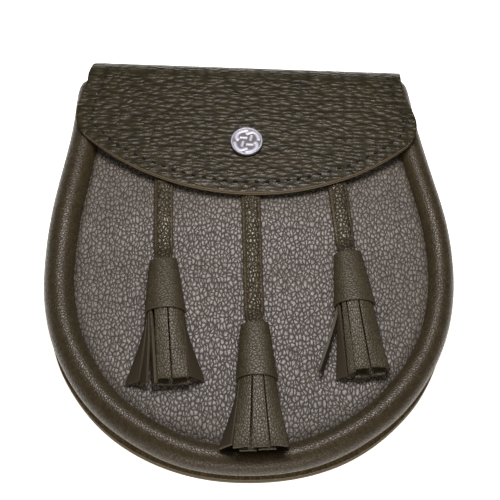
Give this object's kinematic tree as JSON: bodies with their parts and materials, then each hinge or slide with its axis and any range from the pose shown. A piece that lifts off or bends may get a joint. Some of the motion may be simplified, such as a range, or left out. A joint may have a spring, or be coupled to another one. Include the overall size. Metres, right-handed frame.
{
  "type": "sporran pouch",
  "caption": "Dark leather day sporran: a rounded pouch with a padded edge roll, a curved flap held by a knotwork snap, and leather tassels on thongs.",
  "frame": {"origin": "middle of the box, on the surface that the pouch's back rests on", "axes": "+Z out of the front, +Y up the pouch towards the fold of the flap, +X to the right as seen from the front"},
  "size_m": [0.1846, 0.2068, 0.0294],
  "materials": {
    "grained_leather": "wrinkled grain, satin",
    "panel_leather": "pebbled grain, satin",
    "smooth_leather": "fine grain, satin",
    "lining_leather": "smooth, matt",
    "tassel_leather": "fine grain, satin",
    "silver_plate": "polished, softly worn"
  },
  "bodies": {
    "root": {"back_panel": "grained_leather", "collar_centre": "tassel_leather", "collar_left": "tassel_leather", "collar_right": "tassel_leather", "edge_roll": "smooth_leather", "flap": "grained_leather", "flap_lining": "lining_leather", "front_panel": "panel_leather", "gusset": "smooth_leather", "skirt_centre": "tassel_leather", "skirt_left": "tassel_leather", "skirt_right": "tassel_leather", "snap_base": "silver_plate", "snap_cap": "silver_plate", "strap_loop_left": "smooth_leather", "strap_loop_right": "smooth_leather", "thong_centre": "tassel_leather", "thong_left": "tassel_leather", "thong_right": "tassel_leather"}
  },
  "joints": []
}
